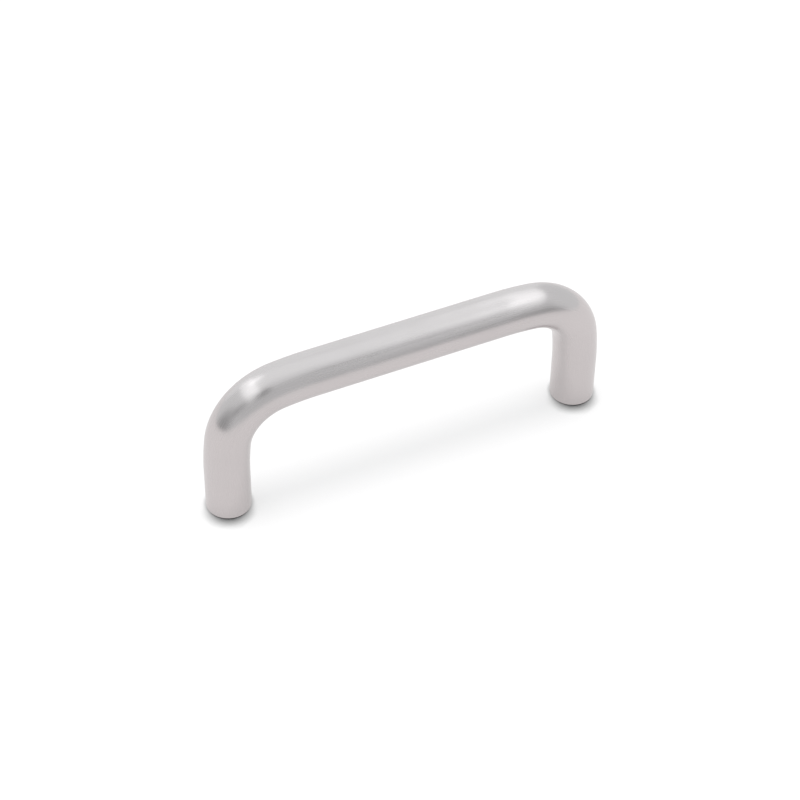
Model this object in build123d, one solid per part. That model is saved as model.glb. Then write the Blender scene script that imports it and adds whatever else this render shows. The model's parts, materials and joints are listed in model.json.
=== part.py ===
from build123d import *

import os
from math import cos, radians, sin, tan

# Wire pull for a drawer or a cabinet door: one round bar bent to a U that stands on its two legs.
# Each leg's end is faced flat and drilled for the screw that comes through the door from behind.
# Frame: X runs from leg to leg, Y across the bar, Z out from the door.
# Origin: midway between the two screw holes, on the door's face.

# Driving dimensions, in millimetres and degrees
hole_spacing = 76.2  # between the two legs' axes
projection = 32.0  # from the door's face to the outermost line of the grip
bar_diameter = 9.0
bend_radius = 12.0  # at the bar's centre line, where it was pressed round the former
lead_radius = 60.0  # at the centre line, where the bar eases on to the former and off it
lead_angle = 7.0  # turned by each of those easing curves
foot_chamfer = 0.15  # edge broken all round each faced end
tap_drill_diameter = 3.45  # drilled for a number 8-32 thread
tap_drill_depth = 14.0  # where the full diameter ends
drill_point_angle = 118.0
mouth_width = 0.55  # countersink that starts the screw, all round the hole
mouth_angle = 90.0

# Worked out from the dimensions above
bar_radius = bar_diameter / 2
tap_radius = tap_drill_diameter / 2
leg_x = hole_spacing / 2
grip_z = projection - bar_radius  # height of the grip's centre line
former_angle = 90.0 - 2 * lead_angle
bend_arcs = ((lead_radius, lead_angle), (bend_radius, former_angle), (lead_radius, lead_angle))
lead_turn = radians(lead_angle)
lead_reach = lead_radius * (1 + sin(lead_turn) - cos(lead_turn))
bend_reach = lead_reach + bend_radius * (cos(lead_turn) - sin(lead_turn))  # the same up the leg and along
leg_straight = grip_z - bend_reach


def centre_line():
    """Up the left leg, round the bend to the middle of the grip, and the same mirrored, all tangent."""
    with BuildLine(Plane.XZ) as line:
        run = Line((-leg_x, 0), (-leg_x, leg_straight))
        for radius, angle in bend_arcs:
            run = JernArc(run @ 1, run % 1, radius, -angle)
        Line(run @ 1, (0, grip_z))
        mirror(about=Plane.YZ)
    return line.wire()


def screw_hole():
    """Half section from the countersunk mouth to the drill's point, turned about Z."""
    mouth_depth = mouth_width / tan(radians(mouth_angle / 2))
    point_depth = tap_radius / tan(radians(drill_point_angle / 2))
    with BuildPart() as hole:
        with BuildSketch(Plane.XZ):
            with BuildLine():
                Polyline(
                    (0, 0),
                    (tap_radius + mouth_width, 0),
                    (tap_radius, mouth_depth),
                    (tap_radius, tap_drill_depth),
                    (0, tap_drill_depth + point_depth),
                    close=True,
                )
            make_face()
        revolve(axis=Axis.Z)
    return hole.part


def bent_bar():
    """Round section carried along the centre line, its two ends faced, chamfered and drilled."""
    path = centre_line()
    with BuildPart() as bar:
        with BuildSketch(Plane(origin=path @ 0, z_dir=path % 0)):
            Circle(bar_radius)
        sweep(path=path)
        feet = bar.faces().filter_by(Axis.Z)
        chamfer(feet.edges(), foot_chamfer)
        with Locations((-leg_x, 0, 0), (leg_x, 0, 0)):
            add(screw_hole(), mode=Mode.SUBTRACT)
    return bar.part


os.makedirs("parts", exist_ok=True)
export_step(bent_bar(), "parts/bent_bar.step")
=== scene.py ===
import json
from math import cos, pi, radians, sin, tan, tau

import bpy
import numpy as np
from mathutils import Matrix, Vector


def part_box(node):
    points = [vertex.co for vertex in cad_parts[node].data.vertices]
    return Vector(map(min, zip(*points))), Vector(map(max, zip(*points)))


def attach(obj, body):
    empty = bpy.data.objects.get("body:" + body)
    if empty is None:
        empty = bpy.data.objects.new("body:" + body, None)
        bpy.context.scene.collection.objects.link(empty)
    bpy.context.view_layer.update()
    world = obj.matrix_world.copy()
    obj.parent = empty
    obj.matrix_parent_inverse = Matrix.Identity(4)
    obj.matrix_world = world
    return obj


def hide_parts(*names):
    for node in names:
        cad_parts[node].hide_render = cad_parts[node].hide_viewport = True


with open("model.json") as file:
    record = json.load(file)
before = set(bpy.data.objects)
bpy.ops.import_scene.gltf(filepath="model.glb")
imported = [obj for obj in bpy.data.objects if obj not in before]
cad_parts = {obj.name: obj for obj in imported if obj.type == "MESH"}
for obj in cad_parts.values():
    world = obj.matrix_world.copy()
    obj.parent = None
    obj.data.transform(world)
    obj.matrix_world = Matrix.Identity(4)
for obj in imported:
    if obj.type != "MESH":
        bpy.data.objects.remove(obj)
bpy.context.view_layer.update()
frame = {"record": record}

# Wire pull: one round steel bar bent to a U, satin brushed along its length, tapped in both feet.
# Everything is in metres, X from leg to leg, Y across the bar, Z out from the door.
mm = 0.001
noiseSpread = (0.3, 0.7)  # where most values of a noise lie


def hexColour(code):
    # sRGB hex to linear: each channel c becomes ((c + 0.055) / 1.055) ** 2.4, or c / 12.92 when dark
    srgb = np.array([int(code[i:i + 2], 16) for i in (1, 3, 5)]) / 255
    linear = np.where(srgb > 0.04045, ((srgb + 0.055) / 1.055) ** 2.4, srgb / 12.92)
    return (*linear.tolist(), 1.0)


def addNode(tree, kind, inputs, **settings):
    # one node with its settings: an input that is a socket is linked, any other value is set
    node = tree.nodes.new("ShaderNode" + kind)
    for name, value in settings.items():
        setattr(node, name, value)
    for name, value in inputs.items():
        if isinstance(value, bpy.types.NodeSocket):
            tree.links.new(value, node.inputs[name])
        else:
            node.inputs[name].default_value = value
    return node


def newMaterial(name):
    # an empty node tree, and its output
    material = bpy.data.materials.new(name)
    material.use_nodes = True
    material.node_tree.nodes.clear()
    return material, material.node_tree, addNode(material.node_tree, "OutputMaterial", {})


# The bent bar. Sizes that the frame holds are read from it, the rest are the bar's own.
screws = next(m for m in frame["record"]["mounts"] if m["name"] == "screw_holes")
low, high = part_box("bent_bar")
bar = {
    "legSpacing": screws["dims"]["spacing_x_mm"] * mm,
    "projection": high.z - low.z,
    "bendRadius": 12.0 * mm,  # at the centre line, round the former
    "leadRadius": 60.0 * mm,  # easing on to the former and off it
    "leadAngle": radians(7.0),
    "footChamfer": 0.15 * mm,
    "ringStep": 0.6 * mm,  # along the bar
    "footRings": 8,  # across each faced end
    "pointsRound": 128,
}
bar["radius"] = (high.x - low.x - bar["legSpacing"]) / 2

# The tapped hole in each foot: number 8-32 thread, countersunk mouth, drill point at the bottom
tapped = {
    "tapRadius": screws["dims"]["hole_r_mm"] * mm,
    "threadRadius": 4.166 / 2 * mm,
    "pitch": 25.4 / 32 * mm,
    "mouthWidth": 0.55 * mm,
    "drillDepth": 14.0 * mm,
    "drillPoint": radians(118.0),
    "threadEnd": 12.0 * mm,  # full thread stops here
    "runOut": 1.2 * mm,  # and fades to the drilled wall over this
    "rootFlat": 1 / 8,  # share of the pitch
    "flankAngle": radians(30.0),
    "ringsPerPitch": 14,
    "mouthRings": 4,
}


def barRuns():
    # the centre line as (length, curvature) runs: leg, easing arc, bend, easing arc, grip, and back again
    lead, turn = bar["leadAngle"], pi / 2 - 2 * bar["leadAngle"]
    reach = bar["leadRadius"] * (1 + sin(lead) - cos(lead)) + bar["bendRadius"] * (cos(lead) - sin(lead))
    leg = (bar["projection"] - bar["radius"] - reach, 0.0)
    easing = (bar["leadRadius"] * lead, 1 / bar["leadRadius"])
    bend = (bar["bendRadius"] * turn, 1 / bar["bendRadius"])
    grip = (bar["legSpacing"] - 2 * reach, 0.0)
    return [leg, easing, bend, easing, grip, easing, bend, easing, leg]


def alongCentreLine(s, runs):
    # a run that turns through an angle is a chord of length ds * sin(half) / half, set at its middle heading
    # the place at s is the sum of those chords, and the heading is the sum of the turns, from straight up
    x, z, heading = np.full_like(s, -bar["legSpacing"] / 2), np.zeros_like(s), np.zeros_like(s)
    start = headingAtStart = 0.0
    for length, curvature in runs:
        ds = np.clip(s - start, 0, length)
        half = curvature * ds / 2
        chord = ds * np.sinc(half / pi)
        x += chord * np.sin(headingAtStart + half)
        z += chord * np.cos(headingAtStart + half)
        heading += curvature * ds
        start += length
        headingAtStart += curvature * length
    return x, z, heading


def ringPlaces(runs):
    # where the rings stand: each run is divided evenly, so that every arc begins and ends on a ring
    ends = np.cumsum([0.0] + [length for length, _ in runs])
    steps = [max(1, round(length / bar["ringStep"])) for length, _ in runs]
    inside = [np.linspace(a, b, n, endpoint=False) for a, b, n in zip(ends, ends[1:], steps)]
    return np.concatenate([*inside, ends[-1:]])


def holeProfile(theta):
    # rings of the hole from the drill's point out to the mouth: depths, and radii round each ring
    # the thread is a trapezoid wave of depth / pitch - angle / turn with its corners rounded, fading to the
    # drilled wall at its end, and the countersink's cone is cut where it is wider
    t = tapped
    mouthDepth = t["mouthWidth"]
    pointDepth = t["tapRadius"] / tan(t["drillPoint"] / 2)
    ringCount = round((t["drillDepth"] - mouthDepth) / t["pitch"] * t["ringsPerPitch"])
    wallDepth = np.linspace(t["drillDepth"], mouthDepth, ringCount)
    coneDepth = np.linspace(mouthDepth, 0, t["mouthRings"] + 1)[1:]
    depth = np.concatenate([wallDepth, coneDepth])[:, None]
    flank = (t["threadRadius"] - t["tapRadius"]) * tan(t["flankAngle"]) / t["pitch"]
    phase = np.abs((depth / t["pitch"] - theta / tau) % 1 - 0.5)
    groove = np.clip((phase - 0.5 + flank + t["rootFlat"] / 2) / flank, 0, 1)
    groove = groove * groove * (3 - 2 * groove)
    fade = np.clip((t["threadEnd"] + t["runOut"] - depth) / t["runOut"], 0, 1)
    wall = t["tapRadius"] + (t["threadRadius"] - t["tapRadius"]) * groove * fade
    cone = t["tapRadius"] + t["mouthWidth"] - depth
    return depth[:, 0], np.maximum(wall, cone), t["drillDepth"] + pointDepth


def bentBar():
    # rings of points centre + radius * (cos(angle) * normal + sin(angle) * Y), the normal at right angles
    # to the heading: up the hole's wall and out at the left foot, along the bar, and in at the right foot
    runs = barRuns()
    total = sum(length for length, _ in runs)
    skinPlace = ringPlaces(runs)
    skinPlace[0] += bar["footChamfer"]
    skinPlace[-1] -= bar["footChamfer"]
    theta = np.arange(bar["pointsRound"]) * tau / bar["pointsRound"]
    holeDepth, leftHole, tipDepth = holeProfile(theta)
    rightHole = holeProfile(-theta)[1]  # the angle runs the other way there, so both threads are right-handed
    mouth = tapped["tapRadius"] + tapped["mouthWidth"]
    footRadius = np.linspace(mouth, bar["radius"] - bar["footChamfer"], bar["footRings"] + 1)[1:]

    footRings = np.repeat(footRadius[:, None], len(theta), 1)
    leftPlace = np.concatenate([holeDepth, np.zeros(len(footRadius))])
    skinRadius = np.full((len(skinPlace), len(theta)), bar["radius"])
    radius = np.vstack([leftHole, footRings, skinRadius, footRings[::-1], rightHole[::-1]])
    place = np.concatenate([leftPlace, skinPlace, total - leftPlace[::-1]])

    # inside a foot the rings stay on the straight axis of the leg
    x, z, heading = alongCentreLine(place, runs)
    order = np.arange(len(place))
    inLeft = order < len(leftPlace)
    inRight = order >= len(leftPlace) + len(skinPlace)
    x = np.where(inLeft, -bar["legSpacing"] / 2, np.where(inRight, bar["legSpacing"] / 2, x))
    z = np.where(inLeft, place, np.where(inRight, total - place, z))
    heading = np.where(inLeft, 0.0, np.where(inRight, pi, heading))

    normal = np.stack([-np.cos(heading), 0 * heading, np.sin(heading)], -1)
    across = np.array([0.0, -1.0, 0.0])
    centre = np.stack([x, 0 * x, z], -1)
    spoke = np.cos(theta)[None, :, None] * normal[:, None] + np.sin(theta)[None, :, None] * across
    rings = centre[:, None] + radius[..., None] * spoke
    tips = np.array([[-bar["legSpacing"] / 2, 0, tipDepth], [bar["legSpacing"] / 2, 0, tipDepth]])
    points = np.vstack([rings.reshape(-1, 3), tips])

    # the same points on the bar before it was bent: along it, and round its axis
    straight = np.stack([np.broadcast_to(place[:, None], radius.shape),
                         radius * np.cos(theta), radius * np.sin(theta)], -1).reshape(-1, 3)
    straightTips = np.array([[tipDepth, 0, 0], [total - tipDepth, 0, 0]])
    straight = np.vstack([straight, straightTips])

    # quads between neighbouring rings, and a fan of triangles at each drill point
    ringCount, roundCount = radius.shape
    ring, step = np.meshgrid(np.arange(ringCount - 1), np.arange(roundCount), indexing="ij")
    nextStep = (step + 1) % roundCount
    quads = np.stack([ring * roundCount + step, ring * roundCount + nextStep,
                      (ring + 1) * roundCount + nextStep, (ring + 1) * roundCount + step], -1).reshape(-1, 4)
    around = np.arange(roundCount)
    last = (ringCount - 1) * roundCount
    leftTip, rightTip = ringCount * roundCount, ringCount * roundCount + 1
    leftFan = np.stack([np.full(roundCount, leftTip), (around + 1) % roundCount, around], -1)
    rightFan = np.stack([np.full(roundCount, rightTip), last + around, last + (around + 1) % roundCount], -1)

    # how far round and how far along the surface each face corner lies, both from 0 to 1
    walked = np.concatenate([[0], np.cumsum(np.linalg.norm(np.diff(rings[:, 0], axis=0), axis=-1))])
    tipGap = np.linalg.norm(rings[0, 0] - tips[0])
    along = (walked + tipGap) / (walked[-1] + 2 * tipGap)
    u0, u1 = step / roundCount, (step + 1) / roundCount
    v0, v1 = along[ring], along[ring + 1]
    quadUv = np.stack([np.stack([u0, v0], -1), np.stack([u1, v0], -1),
                       np.stack([u1, v1], -1), np.stack([u0, v1], -1)], -2).reshape(-1, 2)
    a0, a1, mid = around / roundCount, (around + 1) / roundCount, (around + 0.5) / roundCount
    one = np.ones(roundCount)
    leftUv = np.stack([np.stack([mid, 0 * one], -1), np.stack([a1, along[0] * one], -1),
                       np.stack([a0, along[0] * one], -1)], -2).reshape(-1, 2)
    rightUv = np.stack([np.stack([mid, one], -1), np.stack([a0, along[-1] * one], -1),
                        np.stack([a1, along[-1] * one], -1)], -2).reshape(-1, 2)

    # which finish each face has: 0 the brushed skin, 1 the faced foot, 2 the tapped hole
    fromEnd = np.minimum(np.arange(ringCount - 1), ringCount - 2 - np.arange(ringCount - 1))
    band = np.where(fromEnd < len(holeDepth) - 1, 2, np.where(fromEnd < len(leftPlace) - 1, 1, 0))
    finish = np.concatenate([np.repeat(band, roundCount), np.full(2 * roundCount, 2)])

    corners = np.concatenate([quads.ravel(), leftFan.ravel(), rightFan.ravel()])
    sides = np.concatenate([np.full(len(quads), 4), np.full(2 * roundCount, 3)])
    uv = np.vstack([quadUv, leftUv, rightUv])

    # rings that are real edges: the drill's point, the mouth, and both sides of the chamfer, at each foot
    edgeRings = np.array([0, len(holeDepth) - 1, len(leftPlace) - 1, len(leftPlace)])
    edgeRings = np.concatenate([edgeRings, ringCount - 1 - edgeRings])
    return points, straight, corners, sides, uv, finish, edgeRings


def makeMesh(name, points, corners, sides):
    # points and face corners as flat arrays, sides counting each face's corners
    mesh = bpy.data.meshes.new(name)
    mesh.vertices.add(len(points))
    mesh.vertices.foreach_set("co", points.ravel())
    mesh.loops.add(len(corners))
    mesh.loops.foreach_set("vertex_index", corners)
    mesh.polygons.add(len(sides))
    mesh.polygons.foreach_set("loop_start", np.cumsum(sides) - sides)
    mesh.update(calc_edges=True)
    mesh.validate()
    thing = bpy.data.objects.new(name, mesh)
    bpy.context.scene.collection.objects.link(thing)
    return thing


# Brushed satin steel, drawn along the bar by a fine belt. The eye sees a soft, slightly warm grey
# that spreads light round the bar more than along it, with faint hairlines that follow the bends.
satin = {
    "colours": ("#c7c1c1", "#c2bcbc"),
    "tintPatch": 9.0 * mm,
    "roughness": (0.23, 0.28),
    "anisotropy": 0.75,
    "hairline": 0.16 * mm,  # real ones are about 0.05 mm, drawn this coarse so that they show
    "hairlineLength": 18.0 * mm,
    "hairlineDepth": 0.0006 * mm,
    "swell": 6.0 * mm,  # slow unevenness that the belt leaves
    "swellDepth": 0.05 * mm,
}


def satinSteel(uvName):
    # noise drawn out along the unbent bar gives the hairlines' gloss and bump, over a slow swell,
    # and a broad noise shifts the colour from patch to patch
    material, tree, output = newMaterial("brushedSatinSteel")
    unbent = addNode(tree, "Attribute", {}, attribute_name="straightBar")
    grainScale = (1 / satin["hairlineLength"], 1 / satin["hairline"], 1 / satin["hairline"])
    grainPlace = addNode(tree, "Mapping", {"Vector": unbent.outputs["Vector"], "Scale": grainScale})
    grain = addNode(tree, "TexNoise", {"Vector": grainPlace.outputs["Vector"], "Scale": 1.0, "Detail": 3.0})
    patchScale = (1 / satin["tintPatch"],) * 3
    patchPlace = addNode(tree, "Mapping", {"Vector": unbent.outputs["Vector"], "Scale": patchScale})
    patch = addNode(tree, "TexNoise", {"Vector": patchPlace.outputs["Vector"], "Scale": 1.0, "Detail": 1.0})
    light, dark = [hexColour(code) for code in satin["colours"]]
    tint = addNode(tree, "Mix", {"Factor": patch.outputs["Fac"], "A": light, "B": dark}, data_type="RGBA")
    gloss = addNode(tree, "MapRange", {
        "Value": grain.outputs["Fac"], "From Min": noiseSpread[0], "From Max": noiseSpread[1],
        "To Min": satin["roughness"][0], "To Max": satin["roughness"][1]})
    swellScale = (1 / satin["swell"],) * 3
    swellPlace = addNode(tree, "Mapping", {"Vector": unbent.outputs["Vector"], "Scale": swellScale})
    swell = addNode(tree, "TexNoise", {"Vector": swellPlace.outputs["Vector"], "Scale": 1.0, "Detail": 0.0})
    swelling = addNode(tree, "Bump", {"Height": swell.outputs["Fac"], "Distance": satin["swellDepth"]})
    hairlines = addNode(tree, "Bump", {"Height": grain.outputs["Fac"], "Distance": satin["hairlineDepth"],
                                       "Normal": swelling.outputs["Normal"]})
    roundBar = addNode(tree, "Tangent", {}, direction_type="UV_MAP", uv_map=uvName)
    steel = addNode(tree, "BsdfPrincipled", {
        "Base Color": tint.outputs["Result"], "Metallic": 1.0, "Roughness": gloss.outputs["Result"],
        "Anisotropic": satin["anisotropy"], "Normal": hairlines.outputs["Normal"],
        "Tangent": roundBar.outputs["Tangent"]})
    tree.links.new(steel.outputs["BSDF"], output.inputs["Surface"])
    return material


# Faced steel of the feet. The eye sees fine uneven rings round the screw hole, left by the facing tool,
# some bright and some dull.
faced = {
    "colours": ("#c0bbb8", "#a7a29f"),
    "roughness": (0.27, 0.4),
    "ringWidth": 0.14 * mm,  # about one turn's feed of the tool
    "ringDepth": 0.004 * mm,
}


def facedSteel():
    # colour, gloss and bump all follow a noise of the distance from the leg's axis / ring width
    material, tree, output = newMaterial("facedSteel")
    unbent = addNode(tree, "Attribute", {}, attribute_name="straightBar")
    radial = addNode(tree, "VectorMath", {0: unbent.outputs["Vector"], 1: (0, 1, 1)}, operation="MULTIPLY")
    radius = addNode(tree, "VectorMath", {0: radial.outputs["Vector"]}, operation="LENGTH")
    count = addNode(tree, "Math", {0: radius.outputs["Value"], 1: faced["ringWidth"]}, operation="DIVIDE")
    rings = addNode(tree, "TexNoise", {"W": count.outputs["Value"], "Scale": 1.0, "Detail": 2.0},
                    noise_dimensions="1D")
    light, dark = [hexColour(code) for code in faced["colours"]]
    tint = addNode(tree, "Mix", {"Factor": rings.outputs["Fac"], "A": light, "B": dark}, data_type="RGBA")
    gloss = addNode(tree, "MapRange", {
        "Value": rings.outputs["Fac"], "From Min": noiseSpread[0], "From Max": noiseSpread[1],
        "To Min": faced["roughness"][0], "To Max": faced["roughness"][1]})
    tooling = addNode(tree, "Bump", {"Height": rings.outputs["Fac"], "Distance": faced["ringDepth"]})
    steel = addNode(tree, "BsdfPrincipled", {
        "Base Color": tint.outputs["Result"], "Metallic": 1.0, "Roughness": gloss.outputs["Result"],
        "Normal": tooling.outputs["Normal"]})
    tree.links.new(steel.outputs["BSDF"], output.inputs["Surface"])
    return material


# Tapped steel of the screw holes. The eye sees a greyer, duller metal than the skin, flecked where the tap
# has torn it.
tappedFinish = {
    "colours": ("#b1aca8", "#9e9995"),
    "roughness": (0.28, 0.4),
    "tear": 0.12 * mm,
}


def tappedSteel():
    # a fine noise shifts colour and gloss together
    material, tree, output = newMaterial("tappedSteel")
    unbent = addNode(tree, "Attribute", {}, attribute_name="straightBar")
    tearScale = (1 / tappedFinish["tear"],) * 3
    tearPlace = addNode(tree, "Mapping", {"Vector": unbent.outputs["Vector"], "Scale": tearScale})
    tear = addNode(tree, "TexNoise", {"Vector": tearPlace.outputs["Vector"], "Scale": 1.0, "Detail": 2.0})
    light, dark = [hexColour(code) for code in tappedFinish["colours"]]
    tint = addNode(tree, "Mix", {"Factor": tear.outputs["Fac"], "A": light, "B": dark}, data_type="RGBA")
    gloss = addNode(tree, "MapRange", {
        "Value": tear.outputs["Fac"], "From Min": noiseSpread[0], "From Max": noiseSpread[1],
        "To Min": tappedFinish["roughness"][0], "To Max": tappedFinish["roughness"][1]})
    steel = addNode(tree, "BsdfPrincipled", {
        "Base Color": tint.outputs["Result"], "Metallic": 1.0, "Roughness": gloss.outputs["Result"]})
    tree.links.new(steel.outputs["BSDF"], output.inputs["Surface"])
    return material


points, straight, corners, sides, uv, finish, edgeRings = bentBar()
pull = makeMesh("wirePull", points, corners, sides)
pull.data.attributes.new("straightBar", "FLOAT_VECTOR", "POINT").data.foreach_set("vector", straight.ravel())
for uvName in ("roundAndAlong", "OFBake"):  # the second is the map that a bake goes through
    pull.data.uv_layers.new(name=uvName).data.foreach_set("uv", uv.ravel())
for material in (satinSteel("roundAndAlong"), facedSteel(), tappedSteel()):
    pull.data.materials.append(material)
pull.data.polygons.foreach_set("material_index", finish)

# smooth all over, but for the edges that lie in an edge ring
pull.data.shade_smooth()
ends = np.empty(2 * len(pull.data.edges), int)
pull.data.edges.foreach_get("vertices", ends)
ringOfEnd = ends.reshape(-1, 2) // bar["pointsRound"]
sharp = (ringOfEnd[:, 0] == ringOfEnd[:, 1]) & np.isin(ringOfEnd[:, 0], edgeRings)
pull.data.edges.foreach_set("use_edge_sharp", sharp)

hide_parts("bent_bar")
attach(pull, "root")
print("wire pull made,", len(sides), "faces")


def aim(azimuth, elevation):
    # unit vector (sin a * cos e, -cos a * cos e, sin e): azimuth 0 is -Y, the front, and 90 is +X, the right
    a, e = radians(azimuth), radians(elevation)
    return Vector((sin(a) * cos(e), -cos(a) * cos(e), sin(e)))


# White paper under the pull. It ends a hand's width in front, so the metal shows a darker line there.
# Part of it glows white, for the camera and for the metal alike, and the rest is matt and takes the shadow.
paper = {
    "colour": "#dcd9d9",
    "glowShare": 0.6,
    "front": 155 * mm,
    "back": 900 * mm,
    "side": 700 * mm,
    "below": 0.02 * mm,  # under the feet, so that no two faces share a plane
    # painted shade in front of each foot: open share of a half sky that leans to the back, from black to none
    "contactLean": (161, 30),
    "contactReach": 4.0 * mm,
    "contactShade": (0.30, 0.76),
    # thin painted shade all round it: the same for an upright half sky
    "rimReach": 1.2 * mm,
    "rimShade": (0.0, 0.85),
    "shadeSamples": 16,
}


def paperSheet():
    # a flat sheet of four faces that meet under the pull
    x, y = np.meshgrid(np.linspace(-paper["side"], paper["side"], 3), [-paper["front"], 0.0, paper["back"]])
    points = np.stack([x, y, 0 * x - paper["below"]], -1).reshape(-1, 3)
    corner = np.array([0, 1, 3, 4])[:, None]
    faces = np.hstack([corner, corner + 1, corner + 4, corner + 3])
    sheet = makeMesh("paper", points, faces.ravel(), np.full(4, 4))
    sheet.data.materials.append(whitePaper())
    return sheet


def whitePaper():
    # matt paper mixed with a white glow, both * the darker of the two painted shades where the camera sees
    # them
    material, tree, output = newMaterial("whitePaper")
    lean = aim(*paper["contactLean"])
    leaning = addNode(tree, "CombineXYZ", {"X": lean.x, "Y": lean.y, "Z": lean.z})
    leaningSky = addNode(tree, "AmbientOcclusion", {"Distance": paper["contactReach"],
                                                    "Normal": leaning.outputs["Vector"]},
                         samples=paper["shadeSamples"])
    contact = addNode(tree, "MapRange", {
        "Value": leaningSky.outputs["AO"],
        "From Min": paper["contactShade"][0], "From Max": paper["contactShade"][1]})
    sky = addNode(tree, "AmbientOcclusion", {"Distance": paper["rimReach"]}, samples=paper["shadeSamples"])
    rim = addNode(tree, "MapRange", {
        "Value": sky.outputs["AO"],
        "From Min": paper["rimShade"][0], "From Max": paper["rimShade"][1]})
    darker = addNode(tree, "Math", {0: contact.outputs["Result"], 1: rim.outputs["Result"]},
                     operation="MINIMUM")
    path = addNode(tree, "LightPath", {})
    unseen = addNode(tree, "Math", {0: 1.0, 1: path.outputs["Is Camera Ray"]}, operation="SUBTRACT")
    shade = addNode(tree, "Math", {0: darker.outputs["Value"], 1: unseen.outputs["Value"]},
                    operation="MAXIMUM")
    colour = addNode(tree, "Mix", {"Factor": shade.outputs["Value"], "A": hexColour("#000000"),
                                   "B": hexColour(paper["colour"])}, data_type="RGBA")
    matt = addNode(tree, "BsdfDiffuse", {"Color": colour.outputs["Result"]})
    glow = addNode(tree, "Emission", {"Color": hexColour("#ffffff"), "Strength": shade.outputs["Value"]})
    surface = addNode(tree, "MixShader", {0: paper["glowShare"], 1: matt.outputs["BSDF"],
                                          2: glow.outputs["Emission"]})
    tree.links.new(surface.outputs["Shader"], output.inputs["Surface"])
    return material


paperSheet()
print("paper laid")

# Light: a soft white tent, a little brighter overhead and behind, darker at its front opening, at the lens
# and in two gaps at its sides, with a strip lamp along each side of its roof. Past the paper's edge the
# camera sees plain white in its place.
tent = {
    "colour": "#f7fcfd",
    "base": 1.0,
    # azimuth, elevation, inner and outer spread in degrees, added light
    "zones": {
        "roof": (0, 90, 36, 42, 0.296),
        "back": (180, 17, 33, 38, 0.225),
        "front": (-1, 28, 35, 53, -0.183),
        "lens": (-20, 41, 4, 14, -0.561),
        "leftGap": (-81, -7, 1, 44, -0.541),
        "leftPost": (-57, 26, 7, 13, -0.378),
        "leftLamp": (-149, 53, 2, 13, 0.796),
        "rightGap": (35, -4, 8, 20, -0.47),
        "rightPost": (26, 37, 2, 6, -0.916),
        "rightLamp": (57, 58, 2, 7, 0.704),
    },
}
strips = {
    "height": 600 * mm,
    "out": 406 * mm,
    "width": 245 * mm,
    "leftRun": (-610 * mm, 1020 * mm),  # from front to back
    "rightRun": (-1000 * mm, 640 * mm),
    "radiance": 0.51,
}
# A lamp almost overhead, a little behind the pull, draws the grip's narrow shadow on the paper.
# The metal doesn't mirror it.
overhead = {"direction": (180, 86), "spread": radians(22), "irradiance": 1.73}


def tentLight():
    # the world's strength is base + sum of zone light * smooth step of the angle to each zone's middle
    world = bpy.data.worlds.new("lightTent")
    bpy.context.scene.world = world
    world.use_nodes = True
    tree = world.node_tree
    tree.nodes.clear()
    output = addNode(tree, "OutputWorld", {})
    direction = addNode(tree, "TexCoord", {}).outputs["Generated"]
    total = tent["base"]
    for azimuth, elevation, inner, outer, light in tent["zones"].values():
        near = addNode(tree, "VectorMath", {0: direction, 1: aim(azimuth, elevation)},
                       operation="DOT_PRODUCT")
        zone = addNode(tree, "MapRange", {"Value": near.outputs["Value"], "From Min": cos(radians(outer)),
                                          "From Max": cos(radians(inner)), "To Max": light},
                       interpolation_type="SMOOTHSTEP")
        total = addNode(tree, "Math", {0: total, 1: zone.outputs["Result"]}).outputs["Value"]
    inside = addNode(tree, "Background", {"Color": hexColour(tent["colour"]), "Strength": total})
    white = addNode(tree, "Background", {"Color": hexColour("#ffffff"), "Strength": 1.0})
    path = addNode(tree, "LightPath", {})
    shown = addNode(tree, "MixShader", {0: path.outputs["Is Camera Ray"], 1: inside.outputs["Background"],
                                        2: white.outputs["Background"]})
    tree.links.new(shown.outputs["Shader"], output.inputs["Surface"])


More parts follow.
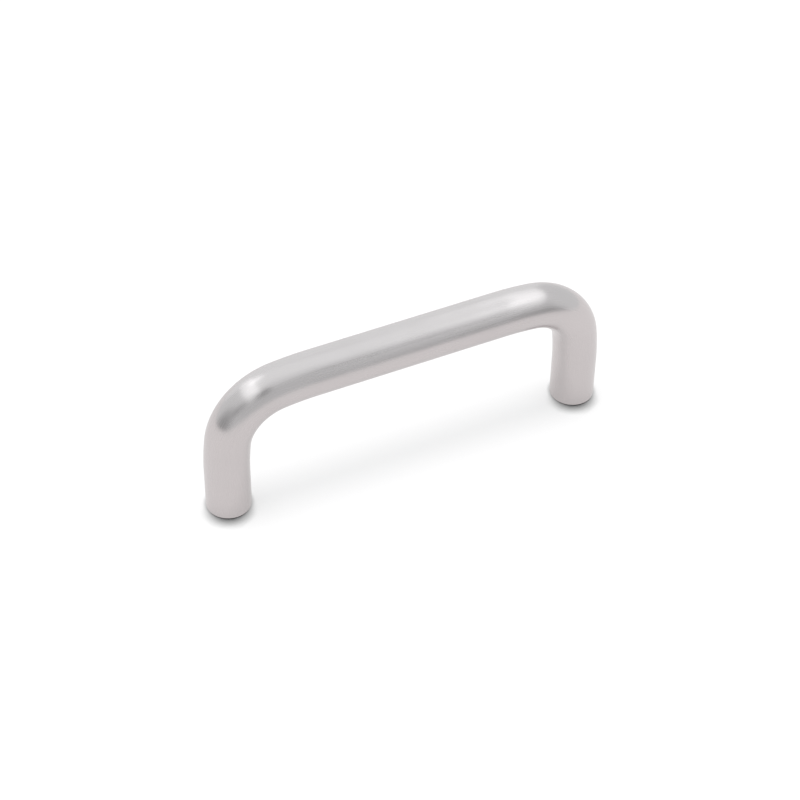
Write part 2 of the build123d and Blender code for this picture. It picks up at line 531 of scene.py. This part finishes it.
def stripLamps():
    # a long rectangle each side, facing the pull: an area lamp's radiance is power / (pi * area)
    for side, name in ((-1, "left"), (1, "right")):
        front, back = strips[name + "Run"]
        lamp = bpy.data.lights.new(name + "Strip", "AREA")
        lamp.shape = "RECTANGLE"
        lamp.size, lamp.size_y = strips["width"], back - front
        lamp.color = hexColour(tent["colour"])[:3]
        lamp.energy = strips["radiance"] * pi * lamp.size * lamp.size_y
        holder = bpy.data.objects.new(name + "Strip", lamp)
        place = Vector((side * strips["out"], (front + back) / 2, strips["height"]))
        away = Vector((place.x, 0, place.z)).normalized()
        along = Vector((0, 1, 0))
        turn = Matrix((along.cross(away), along, away)).transposed().to_4x4()
        holder.matrix_world = Matrix.Translation(place) @ turn
        holder.visible_camera = False
        bpy.context.scene.collection.objects.link(holder)


def overheadLamp():
    # a sun lamp: its irradiance / pi is what it adds to white paper
    lamp = bpy.data.lights.new("overhead", "SUN")
    lamp.angle = overhead["spread"]
    lamp.energy = overhead["irradiance"]
    holder = bpy.data.objects.new("overhead", lamp)
    holder.matrix_world = aim(*overhead["direction"]).to_track_quat("Z", "Y").to_matrix().to_4x4()
    holder.visible_glossy = False
    bpy.context.scene.collection.objects.link(holder)


tentLight()
stripLamps()
overheadLamp()
print("lit")

# The camera, from the outline of the bar in an image 800 pixels square
view = {
    "azimuth": -26.04,
    "elevation": 43.57,
    "roll": 0.87,
    "distance": 453.6 * mm,
    "target": (-1.16 * mm, 0.0, 12.89 * mm),
    "focalPixels": 2302.0,
    "imagePixels": 800,
    "sensor": 36.0,
    "nearest": 1 * mm,
    "farthest": 20.0,
}


def photoCamera():
    # the camera stands back from the target along its viewing direction, turned about it by the roll
    lens = bpy.data.cameras.new("photoCamera")
    lens.sensor_width = view["sensor"]
    lens.lens = view["focalPixels"] / view["imagePixels"] * view["sensor"]
    lens.clip_start, lens.clip_end = view["nearest"], view["farthest"]
    camera = bpy.data.objects.new("photoCamera", lens)
    bpy.context.scene.collection.objects.link(camera)
    back = aim(view["azimuth"], view["elevation"])
    level = Vector((cos(radians(view["azimuth"])), sin(radians(view["azimuth"])), 0))
    upright = back.cross(level)
    c, s = cos(radians(view["roll"])), sin(radians(view["roll"]))
    right, up = c * level + s * upright, c * upright - s * level
    place = Vector(view["target"]) + view["distance"] * back
    camera.matrix_world = Matrix.Translation(place) @ Matrix((right, up, back)).transposed().to_4x4()
    bpy.context.scene.camera = camera


photoCamera()
bpy.context.scene.view_settings.view_transform = "Standard"
print("camera set")
